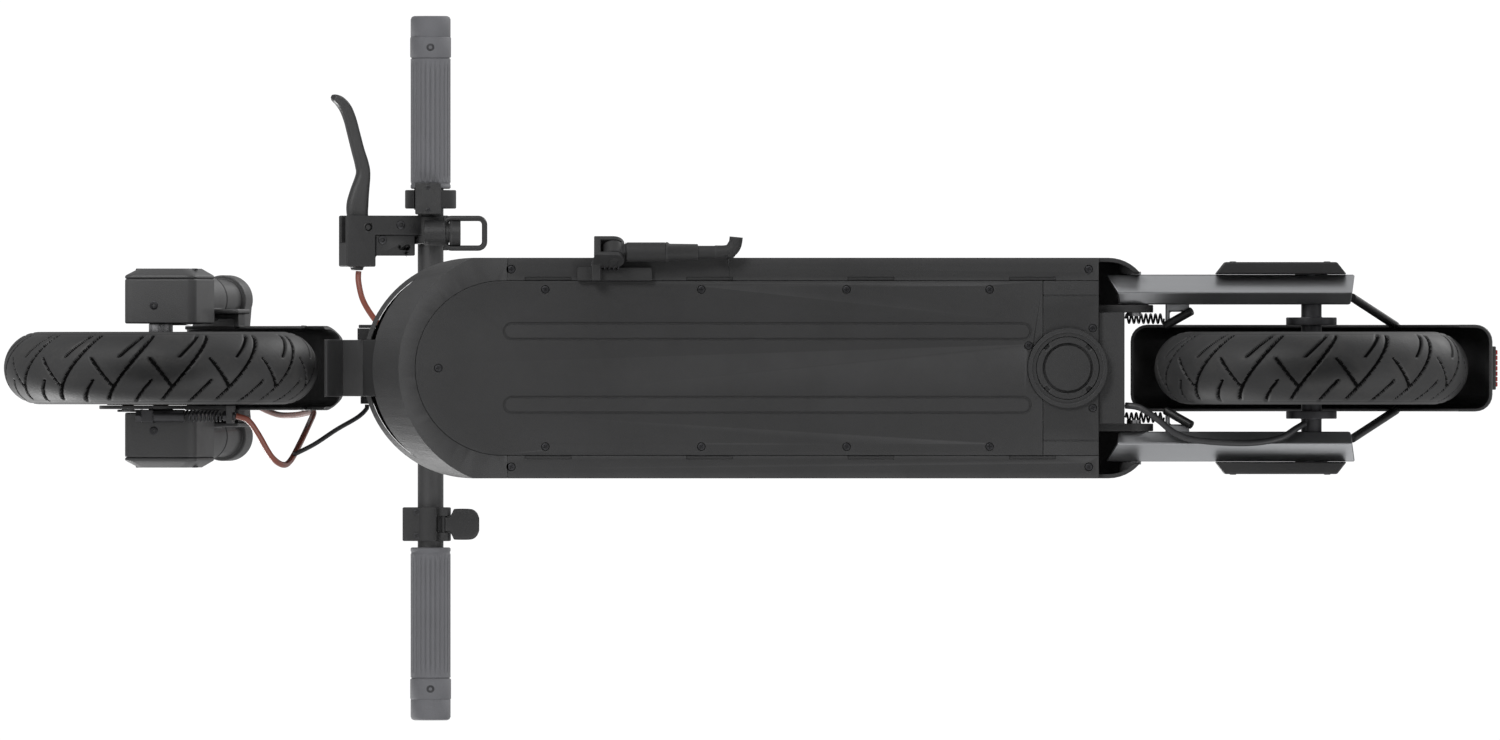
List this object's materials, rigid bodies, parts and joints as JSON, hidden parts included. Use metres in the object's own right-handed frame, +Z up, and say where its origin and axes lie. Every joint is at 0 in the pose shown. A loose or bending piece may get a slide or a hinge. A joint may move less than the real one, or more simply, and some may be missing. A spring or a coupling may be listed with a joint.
{
  "type": "electric kick scooter",
  "caption": "Stand-on electric scooter with a folding steering stem, a battery deck, a sprung fork with a drum brake and a hub motor in a swinging rear arm.",
  "frame": {"origin": "centre of the bounding box on the ground, between the two wheels", "axes": "+X forwards, +Y to the rider's left across the handlebar, +Z up"},
  "size_m": [1.2359, 0.605, 1.2061],
  "materials": {
    "deck_paint": "matt",
    "deck_plastic": "matt",
    "rubber_mat": "matt",
    "steel_screw": "satin",
    "cast_dark": "matt",
    "black_plastic": "satin",
    "cell_wrap": "gloss",
    "case_film": "gloss",
    "board_green": "satin",
    "bright_metal": "satin",
    "steel": "satin",
    "tyre": "matt",
    "brake_lining": "matt",
    "red_cable": "satin",
    "black_cable": "satin",
    "grip_rubber": "matt",
    "display_glass": "gloss",
    "lamp_lens": "gloss"
  },
  "bodies": {
    "frame": {"frame": "deck_paint", "nose_cover": "deck_plastic", "battery_cover": "deck_plastic", "service_panel": "deck_plastic", "service_cap": "deck_plastic", "deck_mat": "rubber_mat", "deck_screws": "steel_screw", "rear_plate": "cast_dark", "charge_port": "black_plastic", "battery_cells": "cell_wrap", "battery_case": "case_film", "bms_board": "board_green", "controller": "bright_metal", "headset_bearings": "steel", "kickstand_base": "cast_dark", "pivot_bolts": "steel", "harness": "black_cable"},
    "fork": {"fork_crown": "deck_paint", "hinge_base": "deck_paint", "hinge_pin": "steel"},
    "fork_lowers": {"fork_lowers": "deck_paint", "axle_caps": "deck_plastic", "front_axle": "steel", "front_fender": "black_plastic", "brake_plate": "cast_dark", "brake_shoes": "brake_lining", "brake_adjuster": "steel_screw", "brake_spring": "steel_screw", "brake_cable_lower": "red_cable", "fork_springs": "steel"},
    "front_wheel": {"front_tyre": "tyre", "front_rim": "deck_paint", "front_bearings": "steel"},
    "brake_arm": {"brake_arm": "steel_screw"},
    "stem": {"stem_tube": "deck_paint", "stem_head": "black_plastic", "handlebar": "deck_paint", "display": "display_glass", "headlight": "lamp_lens", "grips": "grip_rubber", "lever_housing": "cast_dark", "brake_cable_upper": "red_cable", "switch_pod": "black_plastic", "bell_body": "black_plastic", "throttle_body": "black_plastic"},
    "brake_lever": {"brake_lever": "cast_dark"},
    "throttle_lever": {"throttle_lever": "black_plastic"},
    "bell_hook": {"bell_hook": "black_plastic"},
    "power_button": {"power_button": "bright_metal"},
    "fold_latch": {"fold_latch": "black_plastic"},
    "kickstand": {"kickstand": "cast_dark"},
    "charge_cap": {"charge_cap": "rubber_mat"},
    "rear_arm": {"rear_arms": "bright_metal", "arm_covers": "black_plastic", "rear_axle": "steel", "rear_fender": "black_plastic", "rear_springs": "steel", "motor_cable": "black_cable"},
    "rear_wheel": {"motor_hub": "deck_paint", "rear_tyre": "tyre"}
  },
  "joints": [
    {"name": "steering", "type": "hinge", "parent": "frame", "child": "fork", "pos_m": [0.488, 0, 0.13], "axis": [-0.1994, 0, 0.9799], "range_deg": [-45, 45], "deforming": ["harness"]},
    {"name": "fork_travel", "type": "slide", "parent": "fork", "child": "fork_lowers", "axis": [-0.1994, 0, 0.9799], "range_m": [0, 0.035], "stiffness_N_per_m": 12000, "springref_m": -0.01, "deforming": ["fork_springs", "brake_cable_lower"]},
    {"name": "front_wheel_spin", "type": "hinge", "parent": "fork_lowers", "child": "front_wheel", "pos_m": [0.488, 0, 0.13], "axis": [0, 1, 0], "continuous": true},
    {"name": "brake_arm_turn", "type": "hinge", "parent": "fork_lowers", "child": "brake_arm", "pos_m": [0.5154, -0.034, 0.14578], "axis": [0, 1, 0], "range_deg": [0, 5.5], "deforming": ["brake_spring"]},
    {"name": "stem_fold", "type": "hinge", "parent": "fork", "child": "stem", "pos_m": [0.3864, 0, 0.48895], "axis": [0, -1, 0], "range_deg": [0, 95]},
    {"name": "latch_lever", "type": "hinge", "parent": "stem", "child": "fold_latch", "pos_m": [0.43908, 0, 0.51089], "axis": [0, 1, 0], "range_deg": [0, 100]},
    {"name": "brake_lever_pull", "type": "hinge", "parent": "stem", "child": "brake_lever", "pos_m": [0.33141, 0.121, 1.15924], "axis": [0.342, 0, 0.9397], "range_deg": [0, 22], "stiffness_Nm_per_rad": 1, "springref_deg": -17.19},
    {"name": "throttle_press", "type": "hinge", "parent": "stem", "child": "throttle_lever", "pos_m": [0.26238, -0.134, 1.16], "axis": [0, -1, 0], "range_deg": [0, 25], "stiffness_Nm_per_rad": 0.2, "springref_deg": -11.46},
    {"name": "bell_flick", "type": "hinge", "parent": "stem", "child": "bell_hook", "pos_m": [0.26138, 0.116, 1.152], "axis": [0, -1, 0], "range_deg": [0, 30], "stiffness_Nm_per_rad": 0.1, "springref_deg": -17.19},
    {"name": "power_press", "type": "slide", "parent": "stem", "child": "power_button", "axis": [0.1994, 0, -0.9799], "range_m": [0, 0.0015], "stiffness_N_per_m": 300, "springref_m": -0.001},
    {"name": "kickstand_swing", "type": "hinge", "parent": "frame", "child": "kickstand", "pos_m": [0.113, 0.096, 0.091], "axis": [0, -0.788, -0.6157], "range_deg": [0, 88]},
    {"name": "charge_cap_open", "type": "hinge", "parent": "frame", "child": "charge_cap", "pos_m": [0.3245, 0.03465, 0.226], "axis": [1, 0, 0], "range_deg": [0, 110]},
    {"name": "rear_arm_swing", "type": "hinge", "parent": "frame", "child": "rear_arm", "pos_m": [-0.318, 0, 0.13], "axis": [0, 1, 0], "range_deg": [0, 8], "stiffness_Nm_per_rad": 300, "springref_deg": -4.58, "deforming": ["rear_springs", "motor_cable"]},
    {"name": "rear_wheel_spin", "type": "hinge", "parent": "rear_arm", "child": "rear_wheel", "pos_m": [-0.465, 0, 0.13], "axis": [0, 1, 0], "continuous": true}
  ],
  "couplings": [
    {"joint": "brake_arm_turn", "follows": "brake_lever_pull", "ratio": 0.25}
  ]
}
